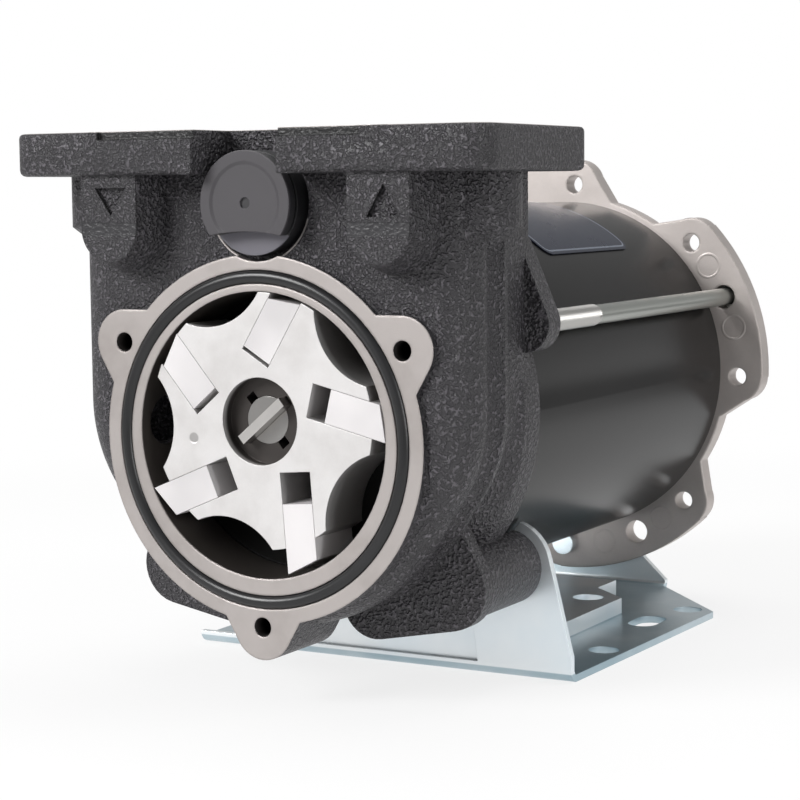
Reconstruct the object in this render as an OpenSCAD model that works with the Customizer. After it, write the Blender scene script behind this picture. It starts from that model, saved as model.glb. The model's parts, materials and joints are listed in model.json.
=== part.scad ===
// Rotary vane fuel pump with its direct current motor and foot bracket.
// X points right seen from the open pump face, Y runs back along the motor, Z is up.
// The origin is the middle of the part's footprint, on the surface that it stands on.
// Inside pump_frame() heights are counted from the motor axis, and depths from the machined face.

/* [Setting up] */
// Height of the motor axis over the surface that the foot stands on
axis_h = 72.5; // [70:0.5:80]
// Number of vanes
vane_n = 5; // [5:1:5]
// Angle of the top vane's slot from the horizontal
first_slot_deg = 58.5; // [50:0.5:62]

/* [Pump chamber] */
// Radius of the chamber bore
chamber_r = 36; // [35.8:0.1:36.4]
// Depth of the chamber
chamber_depth = 18; // [15:0.5:19]
// Distance from the motor axis down to the chamber axis
eccentricity = 3.6; // [3.2:0.1:3.6]
// Distance from the motor axis down to the axis of the cover ring
ring_drop = 4.8; // [4:0.1:5.5]
// Outer radius of the machined cover ring
ring_r = 46.3; // [46:0.1:48]
// Inner radius of the seal groove
groove_in_r = 39; // [38.6:0.1:39.4]
// Outer radius of the seal groove
groove_out_r = 42.5; // [42.2:0.1:43]
// Depth of the seal groove
groove_depth = 2.6; // [2.2:0.1:3]
// Radius of the circle that the cover screws sit on
cover_pcr = 47.1; // [46.5:0.1:48.5]
// Radius of each cover screw lug
lug_r = 8.4; // [8:0.2:9.6]
// Radius of each cover screw hole
cover_hole_r = 2.5; // [2:0.1:3]
// Depth of each cover screw hole
cover_hole_depth = 9; // [7:0.5:10]

/* [Rotor and vanes] */
// Radius of the rotor over its teeth
rotor_r = 32.2; // [31:0.1:32.2]
// Width of a vane slot
slot_w = 8.8; // [8.2:0.1:9]
// Distance of a slot's middle line from the motor axis
slot_offset = 9.1; // [8.8:0.1:9.4]
// Distance from the axis, along the slot, to the slot's floor
slot_floor = 12.9; // [12.5:0.1:13.4]
// Length of a vane along its long edge
vane_len = 17.5; // [16:0.1:17.6]
// Fall of the slanted tip across the vane
vane_bevel = 3.6; // [2:0.1:5]
// Distance of the hollow circle between two teeth from the motor axis
scallop_at = 44.5; // [44:0.1:46]
// Radius of the hollow circle between two teeth
scallop_r = 18.5; // [17.5:0.1:18.6]
// Radius of the counterbore in the rotor hub
hub_sink_r = 11; // [10:0.1:11.2]
// Depth of the counterbore in the rotor hub
hub_sink_depth = 4; // [3:0.5:6]
// Length of the cross key
key_len = 15.7; // [15:0.1:16.2]
// Width of the cross key
key_w = 2.5; // [2:0.1:3]
// Angle of the cross key from the horizontal
key_deg = 40; // [35:1:45]

/* [Pump body] */
// Half of the body's width
body_half_w = 57.5; // [56:0.5:59]
// Set-back of the cast front wall behind the machined face
wall_back = 1.5; // [1:0.1:2]
// Radius of the body's front corners, seen from above
corner_r = 10; // [7:0.5:10.5]
// Depth of the front shell, back to the moulded edge
shell_depth = 23; // [21:0.5:24]
// Depth at which the upper box ends
box_back = 42; // [40:0.5:44]
// Depth of the rear face that the motor sits on
rear_face = 47; // [46:0.2:49]
// Depth of the foot bosses' rear faces
boss_back = 57.6; // [56:0.2:60]
// Radius of the drum behind the front shell
drum_r = 54.8; // [54.5:0.1:56]
// Radius of each foot boss
foot_boss_r = 10; // [9:0.5:11]
// Sideways place of each foot boss
foot_boss_x = 40; // [40:0.2:42]
// Distance of the foot bosses below the motor axis
foot_boss_drop = 42.5; // [42:0.2:44]

/* [Port flange] */
// Half of the flange's width
flange_half_w = 68.6; // [66:0.2:71]
// Distance from the machined face forward to the flange's front edge
flange_fore = 10; // [9:0.5:11]
// Depth of the flange's rear edge
flange_back = 49; // [48:0.5:51]
// Height of the port face over the motor axis
flange_top = 72.1; // [70:0.1:74]
// Thickness of the flange
flange_t = 10.9; // [9:0.1:12]
// Radius of the flange's upright corners
flange_corner_r = 6.5; // [4:0.5:8]
// Distance of each port from the middle plane
port_x = 39.5; // [38.5:0.1:40.5]
// Radius of each port
port_r = 12.5; // [11:0.1:13]
// Radius of the bolt circle round each port
port_bolt_pcr = 21; // [20:0.1:21.5]
// Radius of each port bolt hole
port_bolt_r = 2.5; // [2.5:0.1:3]
// Depth of each port bolt hole
port_bolt_depth = 10; // [8:0.5:10.5]

/* [Bypass valve] */
// Height of the bypass valve's axis over the motor axis
bypass_h = 54.1; // [53:0.1:55]
// Radius of the bypass cap
cap_r = 12.9; // [12:0.1:13.2]
// Distance that the cap stands in front of the machined face
cap_fore = 5.3; // [4:0.1:6]
// Opening travel of the bypass poppet
poppet_travel = 4; // [3:0.1:4.4]

/* [Motor] */
// Radius of the motor can
can_r = 52.5; // [52:0.1:53]
// Thickness of the motor can
can_t = 3; // [2.5:0.1:3.5]
// Depth of the rear shield's front face
shield_front = 183; // [175:0.5:190]
// Thickness of the rear shield's flange
shield_t = 6; // [5:0.5:8]
// Distance of the tie rods and of the shield's holes outside the can
rod_gap = 5.6; // [5.3:0.1:6]
// Width of the shield's lobes outside that circle
lobe_edge = 8; // [7.6:0.1:9]
// Radius of the tie rods
tie_rod_r = 3; // [2.5:0.1:3.2]
// Angle of the right tie rod from the horizontal
tie_rod_deg = 23.2; // [22:0.2:24]
// Length of the armature's iron core
core_len = 62; // [55:1:64]

/* [Foot bracket] */
// Thickness of the bracket's sheet
sheet_t = 2; // [1.5:0.1:2.5]
// Half of the bracket's width
foot_half_w = 58.5; // [57:0.5:62]
// Depth at which the base plate starts to narrow
foot_back = 155; // [150:0.5:158]
// Sideways distance between the foot holes
foot_hole_dx = 106; // [104:0.5:108]
// Distance between the front and the rear foot holes
foot_hole_dy = 63; // [60:0.5:64]
// Radius of the foot holes
foot_hole_r = 4.3; // [3.5:0.05:4.5]

/* [Hidden] */

$fn = 64;
// Round parts of a joined outline, and small round details
fine_fn = 32;
// How far a cut runs past the surface that it opens
over = 1;
// Gap of a running fit, between the rotor or a vane and what it slides on
run = 0.05;
// Gap on each side of a vane in its slot
vane_gap = 0.1;
// Gap between a piece and the seat that holds it still
seat_gap = 0.05;
// Gap between neighbours that must not touch
air = 0.4;

// Depths of the inner stations, counted from the machined face
face_wall = 3;
seal_from = chamber_depth + face_wall;
seal_len = 7;
seal_to = seal_from + seal_len;
bearing_len = 11;
bearing_from = seal_to + 1.5;
bearing_to = bearing_from + bearing_len;
bearing_out_r = 17.5;
bearing_in_r = 7.5;
seal_out_r = 11;
shaft_r = 6;
shaft_step_r = bearing_in_r;
shaft_core_r = 8.5;
motor_bay_r = 46;
circlip_t = 1.2;
circlip_sink = 0.8;
circlip_in_r = 15.2;
motor_bay_from = bearing_to + 2 * circlip_t;
can_seat = 3;
can_from = rear_face - can_seat;
can_in_r = can_r - can_t;
core_from = 88;
core_to = core_from + core_len;

// Height of the flange's underside over the motor axis
flange_under = flange_top - flange_t;
// Places of the port axes
port_y = (flange_back - flange_fore) / 2;
passage_r = 9;
passage_x = 44;
passage_floor = -10;
window_r = 6.5;
window_h = -2;
window_y = 10.5;

// Front shell: straight sides, two round lower corners and a round bottom
shell_low_r = 40;
shell_low_h = 3.2;
shell_bottom_r = 53;
shell_neck_y = 16.5;
shell_neck_r = 7;
shell_neck_sink = 2;
shell_fin_h = 3.5;
drum_neck_r = 49.5;
drum_neck_to = 28;
drum_full_from = 38;
lug_flank_deg = 30;
lug_flank_len = 7.3;

// Bosses under the flange, at the front and at the sides
pad_x = 39;
pad_w = 17;
pad_base_w = 24;
pad_fore = 8;
pad_mid = 46.7;
pad_low = 47.9;
side_pad_x = 56;
side_pad_y = 14;
side_pad_r = 9;
side_pad_low = 48;
side_pad_in = 6.5;
side_pad_tip_r = 4;
side_pad_tip = 40;

// Step milled along the flange's upper front edge
mill_from = -40.5;
mill_to = 35;
mill_h = 2;
mill_deep = 1.2;

// Recess for the bypass cap
cap_recess_r = 14.4;
cap_recess_floor = 4.5;
notch_half_w = 12.3;
notch_back = 6.8;
cap_head_t = 3;
cap_groove_t = 1;
cap_groove_sink = 0.9;
cap_relief_r = 52;
cap_relief_depth = 4.2;
cap_plug_r = 9;
cap_plug_len = 7;
cap_seal_wire_r = 0.8;
cap_seal_in_r = cap_plug_r - 2 * cap_seal_wire_r;
cap_seal_y = cap_recess_floor + 2 * cap_seal_wire_r;
cap_dimple_r = 1.4;
cap_dimple_depth = 0.8;
valve_bore_r = 8;
valve_seat_r = 5;
valve_seat_y = 24;
valve_out_y = 27;
valve_in_y = 16.5;
cross_r = 4.5;
poppet_r = 6.8;
poppet_t = 3;
poppet_stem_r = 3;
poppet_stem_len = 10.5;

// Tie rods and the ears that they screw into
tie_pcr = can_r + rod_gap;
lobe_r = tie_pcr + lobe_edge;
ear_r = 7.2;
ear_from = 40;
ear_web_right = [50, 43];
ear_web_left = [-50, -2];
ear_web_r = 2.5;
tie_thread_to = 84;
tie_in_ear = 6;
tie_shank_r = tie_rod_r - 0.35;
tie_hole_gap = 0.6;
tie_head_r = 5;
tie_head_t = 4;
tie_degs = [tie_rod_deg, tie_rod_deg + 180];

// Foot shoes, seen from the front
shoe_from = 22;
shoe_t = 5;
shoe_out = [41, 42.8];
shoe_in = [20, 47.8];
shoe_out_r = 10.5;
shoe_in_r = 9.5;
shoe_up = [36, 30];
shoe_up_r = 9;

// Middle of the part from front to back
shield_boss_t = 9;
part_back = shield_front + shield_t + shield_boss_t;
mid_y = (part_back - flange_fore) / 2;

// How far each vane stands out of its slot floor at rest, in turn from the top vane clockwise
vane_out = [0.9, 5.35, 7.95, 6.55, 1.65];

module pump_frame() { translate([0, -mid_y, axis_h]) children(); }

// A bar along Y, from depth y0 to depth y1, with its axis at x and height z
module bar_y(r, y0, y1, x = 0, z = 0, fn = $fn) {
    translate([x, y1, z]) rotate([90, 0, 0]) cylinder(r = r, h = y1 - y0, $fn = fn);
}

// A ring along Y
module ring_y(r_out, r_in, y0, y1, x = 0, z = 0) {
    difference() {
        bar_y(r_out, y0, y1, x, z);
        bar_y(r_in, y0 - over, y1 + over, x, z);
    }
}

// A flat outline, drawn in X and Z, made solid from depth y0 to depth y1
module slab_y(y0, y1) {
    translate([0, y1, 0]) rotate([90, 0, 0]) linear_extrude(y1 - y0) children();
}

// A rectangle from corner a to corner b
module area(a, b) { translate(a) square([b[0] - a[0], b[1] - a[1]]); }

// A rectangle from corner a to corner b with round corners
module round_area(a, b, r) {
    area([a[0] + r, a[1]], [b[0] - r, b[1]]);
    area([a[0], a[1] + r], [b[0], b[1] - r]);
    for (x = [a[0] + r, b[0] - r], y = [a[1] + r, b[1] - r]) translate([x, y]) circle(r);
}

function polar(r, deg) = [r * cos(deg), r * sin(deg)];

// Half of the front shell's section: X is the distance from the middle, Y is the depth
module shell_profile(r) {
    difference() {
        union() {
            area([0, wall_back], [r - corner_r, shell_depth]);
            area([0, wall_back + corner_r], [r, shell_depth]);
            translate([r - corner_r, wall_back + corner_r]) circle(corner_r);
        }
        translate([r - shell_neck_sink + shell_neck_r, shell_neck_y]) circle(shell_neck_r);
    }
    area([0, shell_depth - over], [r - shell_fin_h, box_back]);
}

// The section turned round an axis along Y
module shell_round(r, x, z) {
    translate([x, 0, z]) rotate([-90, 0, 0]) rotate_extrude() shell_profile(r);
}

// Outline of the machined ring with its three lugs
module ring_outline() {
    touch = polar(lug_r, 90 - lug_flank_deg);
    root = polar(lug_flank_len, 180 - lug_flank_deg);
    translate([0, -ring_drop]) {
        circle(ring_r);
        for (deg = [30, 150, 270]) rotate(deg) {
            translate([cover_pcr, 0]) circle(lug_r);
            polygon([[0, 0], for (side = [-1, 1]) each [
                [cover_pcr + touch[0] + (side < 0 ? root[0] : 0), side * (touch[1] + (side < 0 ? root[1] : 0))],
                [cover_pcr + touch[0] + (side > 0 ? root[0] : 0), side * (touch[1] + (side > 0 ? root[1] : 0))]]]);
        }
    }
}

// The body's outside
module body_outside() {
    translate([0, 0, flange_under]) linear_extrude(flange_t)
        round_area([-flange_half_w, -flange_fore], [flange_half_w, flange_back], flange_corner_r);
    // front shell and the box behind it
    for (side = [0, 1]) mirror([side, 0, 0]) {
        translate([0, 0, shell_low_h]) linear_extrude(flange_under + over - shell_low_h) shell_profile(body_half_w);
        shell_round(shell_low_r, body_half_w - shell_low_r, shell_low_h);
    }
    shell_round(shell_bottom_r, 0, 0);
    slab_y(0, shell_depth) ring_outline();
    // drum behind the shell
    rotate([-90, 0, 0]) rotate_extrude() polygon([[0, shell_depth - over], [drum_neck_r, shell_depth - over],
        [drum_neck_r, drum_neck_to], [drum_r, drum_full_from], [drum_r, rear_face], [0, rear_face]]);
    tie_ear(tie_degs[0], ear_web_right);
    tie_ear(tie_degs[1], ear_web_left);
    for (side = [-1, 1]) {
        arrow_pad(side);
        shoe(side);
        side_pad(side);
    }
}

// Ear that a tie rod screws into, with a web up to the body
module tie_ear(deg, web) {
    slab_y(ear_from, rear_face) hull() {
        translate(polar(tie_pcr, deg)) circle(ear_r, $fn = fine_fn);
        translate(web) circle(ear_web_r, $fn = fine_fn);
    }
}

// Boss for the outer bolt of a port
module side_pad(side) {
    hull() {
        translate([side * side_pad_x, side_pad_y, side_pad_low])
            cylinder(r = side_pad_r, h = flange_under + over - side_pad_low, $fn = fine_fn);
        translate([side * (side_pad_x - side_pad_in), side_pad_y, side_pad_tip])
            cylinder(r = side_pad_tip_r, h = over, $fn = fine_fn);
    }
}

// Boss for the front bolt of a port, wider at its root
module arrow_pad(side) {
    root = pad_base_w / pad_w;
    translate([side * pad_x, wall_back + over, pad_mid]) rotate([90, 0, 0])
        linear_extrude(pad_fore + wall_back + over, scale = 1 / root) scale(root) {
            translate([0, pad_low - pad_mid]) circle(pad_w / 2);
            area([-pad_w / 2, pad_low - pad_mid], [pad_w / 2, flange_under + over - pad_mid]);
        }
}

// Foot of the body: a plate in front and a round boss behind it
module shoe(side) {
    slab_y(shoe_from, shoe_from + shoe_t) hull() {
        translate([side * shoe_out[0], -shoe_out[1]]) circle(shoe_out_r, $fn = fine_fn);
        translate([side * shoe_in[0], -shoe_in[1]]) circle(shoe_in_r, $fn = fine_fn);
        translate([side * shoe_up[0], -shoe_up[1]]) circle(shoe_up_r, $fn = fine_fn);
    }
    bar_y(foot_boss_r, shoe_from + shoe_t - over, boss_back, side * foot_boss_x, -foot_boss_drop);
}

module pump_body() {
    color("#2b2b2e") pump_frame() difference() {
        body_outside();
        // chamber, seal groove and cover screw holes
        bar_y(chamber_r, -over, chamber_depth, 0, -eccentricity);
        difference() {
            bar_y(groove_out_r, -over, groove_depth, 0, -ring_drop);
            bar_y(groove_in_r, -2 * over, groove_depth + over, 0, -ring_drop);
        }
        for (deg = [30, 150, 270]) {
            at = polar(cover_pcr, deg);
            bar_y(cover_hole_r, -over, cover_hole_depth, at[0], at[1] - ring_drop);
        }
        // shaft, seal, bearing, motor bay and the step that the can sits on
        bar_y(shaft_r + air, chamber_depth - over, seal_from + over);
        bar_y(seal_out_r, seal_from, seal_to + over);
        bar_y(bearing_in_r + air, seal_to, bearing_from + over);
        bar_y(bearing_out_r, bearing_from, motor_bay_from + over);
        bar_y(bearing_out_r + circlip_sink, bearing_to, bearing_to + circlip_t);
        bar_y(motor_bay_r, motor_bay_from, rear_face + over);
        bar_y(can_r + seat_gap, can_from, rear_face + over);
        bar_y(foot_saddle_r, rear_face, boss_back + over);
        // step milled along the flange's upper front edge
        translate([mill_from, -flange_fore - over, flange_top - mill_h])
            cube([mill_to - mill_from, mill_deep + over, mill_h + over]);
        for (deg = tie_degs) {
            at = polar(tie_pcr, deg);
            bar_y(tie_rod_r + seat_gap, rear_face - tie_in_ear, rear_face + over, at[0], at[1]);
        }
        // ports, their passages down to the chamber and their bolt holes
        for (side = [-1, 1]) {
            translate([side * port_x, port_y, flange_under - port_r]) cylinder(r = port_r, h = flange_t + 2 * port_r);
            translate([side * passage_x, port_y, passage_floor])
                cylinder(r = passage_r, h = flange_under - passage_floor);
            translate([0, window_y, window_h]) rotate([0, side * 90, 0])
                translate([0, 0, chamber_r - 2 * window_r]) cylinder(r = window_r, h = passage_x - chamber_r + 2 * window_r);
            for (turn = [0, 90, 180, 270]) {
                at = polar(port_bolt_pcr, turn);
                translate([side * port_x + at[0], port_y + at[1], flange_top - port_bolt_depth])
                    cylinder(r = port_bolt_r, h = port_bolt_depth + over);
            }
            bar_y(foot_screw_r, boss_back - foot_screw_len, boss_back + over, side * foot_boss_x, -foot_boss_drop);
        }
        // bypass valve: recess, plug bore, valve bore, seat and the two cross ways
        bar_y(cap_recess_r, -flange_fore - over, cap_recess_floor, 0, bypass_h);
        slab_y(-flange_fore - over, notch_back) area([-notch_half_w, bypass_h], [notch_half_w, flange_top + over]);
        bar_y(cap_plug_r + seat_gap, cap_recess_floor - over, cap_recess_floor + cap_plug_len + seat_gap, 0, bypass_h);
        bar_y(valve_bore_r, cap_recess_floor, valve_seat_y, 0, bypass_h);
        bar_y(valve_seat_r, valve_seat_y - over, valve_out_y + cross_r, 0, bypass_h);
        translate([0, valve_out_y, bypass_h]) rotate([0, 90, 0]) cylinder(r = cross_r, h = port_x);
        translate([0, valve_in_y, bypass_h]) rotate([0, -90, 0]) cylinder(r = cross_r, h = port_x);
    }
}

// A seal ring of round section lying in a groove
module round_ring(mid_r, wire_r) {
    rotate([90, 0, 0]) rotate_extrude() translate([mid_r, 0]) circle(wire_r, $fn = fine_fn);
}

module chamber_o_ring() {
    groove_w = groove_out_r - groove_in_r;
    wire_r = groove_w / 2 - seat_gap;
    color("#1c1c1e") pump_frame() translate([0, groove_depth - wire_r - seat_gap, -ring_drop])
        round_ring((groove_out_r + groove_in_r) / 2, wire_r);
}

function slot_deg(i) = first_slot_deg - i * 360 / vane_n;

// One vane slot, seen from the front, with its floor towards the axis
module slot_area(i) {
    rotate(slot_deg(i)) area([slot_floor, slot_offset - slot_w / 2], [rotor_r + slot_w, slot_offset + slot_w / 2]);
}

module rotor() {
    notch_w = key_w + 2 * seat_gap;
    notch_len = key_len + 2 * air;
    color("#c9c6c4") pump_frame() difference() {
        slab_y(run, chamber_depth - run) difference() {
            circle(rotor_r);
            for (i = [0:vane_n - 1]) {
                slot_area(i);
                translate(polar(scallop_at, slot_deg(i) - scallop_back_deg)) circle(scallop_r);
            }
            for (turn = [0, 90]) rotate(key_deg + turn)
                area([-notch_len / 2, -notch_w / 2], [notch_len / 2, notch_w / 2]);
        }
        bar_y(shaft_r + seat_gap, -over, chamber_depth + over);
        bar_y(hub_sink_r, -over, hub_sink_depth);
    }
}

// The hollow between two teeth lies this far back from the slot's own direction
scallop_back_deg = 19.7;

// One vane; its long edge bears on the chamber wall
module vane(i) {
    half = slot_w / 2 - vane_gap;
    color("#f0efec") pump_frame() slab_y(run, chamber_depth - run) rotate(slot_deg(i))
        translate([slot_floor + vane_out[i], slot_offset])
            polygon([[0, -half], [vane_len, -half], [vane_len - vane_bevel, half], [0, half]]);
}

module vane_1() { vane(0); }
module vane_2() { vane(1); }
module vane_3() { vane(2); }
module vane_4() { vane(3); }
module vane_5() { vane(4); }

key_fore = 0.6;
key_back = 7.5;
shaft_front = 4;

// Shaft from the rotor hub to the rear bearing
module motor_shaft() {
    color("#b9b8b6") pump_frame() difference() {
        union() {
            bar_y(shaft_r, shaft_front, bearing_from - seat_gap);
            bar_y(shaft_step_r - seat_gap, bearing_from - seat_gap, bearing_to);
            bar_y(shaft_core_r, bearing_to, commutator_to);
            bar_y(rear_journal_r - seat_gap, commutator_to, rear_bearing_to);
        }
        slab_y(shaft_front - over, key_back + seat_gap) rotate(key_deg)
            area([-shaft_step_r, -key_w / 2 - seat_gap], [shaft_step_r, key_w / 2 + seat_gap]);
    }
}

module cross_key() {
    color("#8f8d8a") pump_frame() slab_y(key_fore, key_back) rotate(key_deg)
        area([-key_len / 2, -key_w / 2], [key_len / 2, key_w / 2]);
}

module bearing_circlip() {
    color("#6f6e6c") pump_frame() ring_y(bearing_out_r + circlip_sink - seat_gap, circlip_in_r,
        bearing_to + seat_gap, bearing_to + circlip_t - seat_gap);
}

module shaft_seal() {
    color("#3a3634") pump_frame() ring_y(seal_out_r - seat_gap, shaft_r + run, seal_from + seat_gap, seal_to);
}

// Outer race, its cage of balls and shields
module bearing_outer(out_r, in_r, y0, y1) {
    race = (out_r - in_r) / 4;
    mid_r = (out_r + in_r) / 2;
    color("#a9abad") pump_frame() {
        ring_y(out_r - seat_gap, mid_r + race / 2, y0 + seat_gap, y1 - seat_gap);
    }
}

module bearing_inner(out_r, in_r, y0, y1) {
    race = (out_r - in_r) / 4;
    mid_r = (out_r + in_r) / 2;
    ball_r = race * 0.9;
    color("#c4c6c8") pump_frame() {
        ring_y(mid_r - race / 2, in_r, y0 + seat_gap, y1 - seat_gap);
    }
}

module front_bearing_outer() { bearing_outer(bearing_out_r, bearing_in_r, bearing_from, bearing_to); }
module front_bearing_inner() { bearing_inner(bearing_out_r, bearing_in_r, bearing_from, bearing_to); }
module rear_bearing_outer() { bearing_outer(rear_bearing_r, rear_journal_r, rear_bearing_from, rear_bearing_to); }
module rear_bearing_inner() { bearing_inner(rear_bearing_r, rear_journal_r, rear_bearing_from, rear_bearing_to); }

// Screw-in cap over the bypass valve, with a relief that clears the front cover
module bypass_cap() {
    head_back = cap_recess_floor;
    color("#39383a") pump_frame() difference() {
        union() {
            bar_y(cap_r, -cap_fore, -cap_fore + cap_head_t, 0, bypass_h);
            bar_y(cap_r - cap_groove_sink, -cap_fore, head_back, 0, bypass_h);
            bar_y(cap_r, -cap_fore + cap_head_t + cap_groove_t, head_back, 0, bypass_h);
            bar_y(cap_plug_r - seat_gap, head_back - over, head_back + cap_plug_len, 0, bypass_h);
        }
        slab_y(-cap_fore - over, -cap_fore + cap_relief_depth) translate([0, -ring_drop]) circle(cap_relief_r);
        bar_y(cap_dimple_r, -cap_fore - over, -cap_fore + cap_dimple_depth, 0, bypass_h);
        ring_y(cap_plug_r + over, cap_seal_in_r, cap_seal_y - cap_seal_wire_r - seat_gap,
            cap_seal_y + cap_seal_wire_r + seat_gap, 0, bypass_h);
        // spring pocket and stem bore
        bar_y(spring_mid_r + 1.5 * spring_wire_r, spring_from - spring_wire_r, head_back + cap_plug_len + over, 0, bypass_h);
        bar_y(poppet_stem_r + air / 2, 0, head_back + cap_plug_len, 0, bypass_h);
    }
}

module bypass_cap_seal() {
    color("#1c1c1e") pump_frame() translate([0, cap_seal_y, bypass_h])
        round_ring(cap_seal_in_r + cap_seal_wire_r + seat_gap, cap_seal_wire_r - seat_gap / 2);
}

spring_wire_r = 0.6;
spring_mid_r = 4.4;
spring_from = 7;
spring_turns = 6;

// A round wire that follows a helix along Y, as one closed solid
module helix(mid_r, wire_r, y0, y1, turns, steps = 16, sides = 6) {
    count = turns * steps;
    points = [for (i = [0:count], j = [0:sides - 1])
        let (a = 360 * i / steps, b = 360 * j / sides, r = mid_r + wire_r * cos(b))
            [r * cos(a), y0 + (y1 - y0) * i / count + wire_r * sin(b), r * sin(a)]];
    walls = [for (i = [0:count - 1], j = [0:sides - 1])
        let (k = (j + 1) % sides, a = i * sides, b = a + sides) each [[a + j, a + k, b + k], [a + j, b + k, b + j]]];
    last = count * sides;
    ends = [for (j = [1:sides - 2]) each [[0, j + 1, j], [last, last + j, last + j + 1]]];
    polyhedron(points = points, faces = concat(walls, ends));
}

module bypass_spring() {
    color("#b8bbbf") pump_frame() translate([0, 0, bypass_h])
        helix(spring_mid_r, spring_wire_r, spring_from + spring_wire_r,
            valve_seat_y - poppet_t - spring_wire_r - 2 * seat_gap, spring_turns);
}

module bypass_poppet() {
    color("#b79b5a") pump_frame() {
        bar_y(poppet_r, valve_seat_y - poppet_t, valve_seat_y - seat_gap, 0, bypass_h);
        bar_y(poppet_stem_r, valve_seat_y - poppet_t - poppet_stem_len, valve_seat_y - poppet_t + over, 0, bypass_h);
    }
}

module motor_can() {
    color("#232326") pump_frame() ring_y(can_r, can_in_r, can_from, shield_front);
}

magnet_t = 6.5;
magnet_span_deg = 130;
air_gap = 0.8;
magnet_in_r = can_in_r - magnet_t;
core_r = magnet_in_r - air_gap;

// Two curved magnets held to the inside of the can
module field_magnets() {
    color("#4a4a4c") pump_frame() slab_y(core_from - face_wall, core_to + face_wall)
        for (side = [-1, 1]) scale([side, 1]) intersection() {
            difference() {
                circle(can_in_r - seat_gap);
                circle(magnet_in_r);
            }
            polygon([[0, 0], 2 * polar(can_r, -magnet_span_deg / 2), 2 * polar(can_r, 0),
                2 * polar(can_r, magnet_span_deg / 2)]);
        }
}

core_slots = 16;
core_slot_w = 5;
core_slot_depth = 15;
core_tooth_t = 2;
core_mouth_w = 2;

// Stack of iron sheets with wire slots
module armature_core() {
    color("#7c7d80") pump_frame() difference() {
        slab_y(core_from, core_to) difference() {
            circle(core_r);
            circle(shaft_core_r + seat_gap);
            for (i = [0:core_slots - 1]) rotate(i * 360 / core_slots) {
                area([core_r - core_slot_depth, -core_slot_w / 2], [core_r - core_tooth_t, core_slot_w / 2]);
                area([core_r - core_slot_depth, -core_mouth_w / 2], [core_r + over, core_mouth_w / 2]);
            }
        }
    }
}

coil_overhang = 13;
coil_gap = 0.3;

// Copper coils: bars in the slots and a bundle at each end of the core
module armature_windings() {
    in_r = core_r - core_slot_depth;
    out_r = core_r - core_tooth_t;
    color("#a8602c") pump_frame() {
        slab_y(core_from - coil_overhang / 2, core_to + coil_overhang / 2)
            for (i = [0:core_slots - 1]) rotate(i * 360 / core_slots)
                area([in_r + coil_gap, -core_slot_w / 2 + coil_gap], [out_r - coil_gap, core_slot_w / 2 - coil_gap]);
        for (y = [core_from - coil_overhang, core_to + coil_gap])
            ring_y(out_r - coil_gap, in_r + coil_gap, y, y + coil_overhang - coil_gap);
    }
}

commutator_r = 17;
commutator_from = core_to + coil_overhang + 1;
commutator_len = 16;
commutator_to = commutator_from + commutator_len;
commutator_bars = 16;
commutator_cut = 0.8;

module commutator() {
    color("#c07a45") pump_frame() slab_y(commutator_from, commutator_to - seat_gap) difference() {
        circle(commutator_r);
        circle(shaft_core_r + seat_gap);
        for (i = [0:commutator_bars - 1]) rotate((i + 0.5) * 360 / commutator_bars)
            area([commutator_r - commutator_cut, -commutator_cut / 2], [commutator_r + over, commutator_cut / 2]);
    }
}

brush_w = 8;
brush_deep = 10;
brush_len = 14;
brush_y = (commutator_from + commutator_to) / 2;
holder_wall = 1.5;
holder_from = commutator_r + 2.5;
holder_len = 20;
holder_to = holder_from + holder_len - holder_wall;

module brush(side) {
    color("#3b3b3d") pump_frame() difference() {
        translate([side * (commutator_r + brush_len / 2), brush_y, 0])
            cube([brush_len, brush_deep, brush_w], center = true);
        bar_y(commutator_r + run, commutator_from - over, commutator_to + over);
    }
}

module brush_left() { brush(-1); }
module brush_right() { brush(1); }

// Insulating ring that carries the two brush boxes
module brush_holders() {
    back = shield_front - shield_spigot - seat_gap;
    color("#8a6a45") pump_frame() difference() {
        union() {
            ring_y(can_in_r - 2 * seat_gap, rear_bearing_r + face_wall + air, back - 2 * holder_wall, back);
            for (side = [-1, 1])
                translate([side * (holder_from + holder_len / 2), (back + brush_y - brush_deep / 2 - holder_wall) / 2, 0])
                    cube([holder_len, back - brush_y + brush_deep / 2 + holder_wall,
                        brush_w + 2 * holder_wall + 2 * vane_gap], center = true);
        }
        for (side = [-1, 1]) translate([side * (commutator_r + holder_to) / 2, brush_y, 0])
            cube([holder_to - commutator_r, brush_deep + 2 * vane_gap, brush_w + 2 * vane_gap], center = true);
        bar_y(commutator_r + air, commutator_from - over, commutator_to + over);
        bar_y(rear_bearing_r + face_wall + air, commutator_to - over, back + over);
    }
}

brush_spring_wire = 0.4;

module brush_springs() {
    y_from = commutator_r + brush_len + brush_spring_wire + seat_gap;
    y_to = holder_to - brush_spring_wire - seat_gap;
    color("#b8bbbf") pump_frame() for (side = [-1, 1])
        translate([0, brush_y, 0]) rotate([0, 0, -side * 90])
            helix(brush_w / 3, brush_spring_wire, y_from, y_to, 4, 12);
}

shield_spigot = 4;
rear_journal_r = 6;
rear_bearing_r = 14;
rear_bearing_len = 8;
shield_cap_t = 4;
rear_bearing_to = part_back - shield_cap_t;
rear_bearing_from = rear_bearing_to - rear_bearing_len;
washer_t = 0.6;

// Angles of the end holes of the shield's four lobes
lobe_spans = [[-1.8, 42.9], [87.2, 134.2], [178.2, 222.9], [268, 314.2]];
valley_r = can_r + rod_gap / 3;
lobe_end_r = lobe_edge - 0.2;
lobe_flare_deg = 15;
lobe_flank_deg = 65;
shield_top_deg = 87.2;
shield_hole_r = 2.75;
shield_big_hole_r = 3.6;
shield_hole_degs = [42.9, -1.8, -45.8];
shield_big_deg = -65.2;
earth_deg = -90.6;
shield_rim_r = 48;
shield_rim_t = 3;
shield_boss_r = 19;
rib_n = 6;
rib_t = 3;

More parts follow.
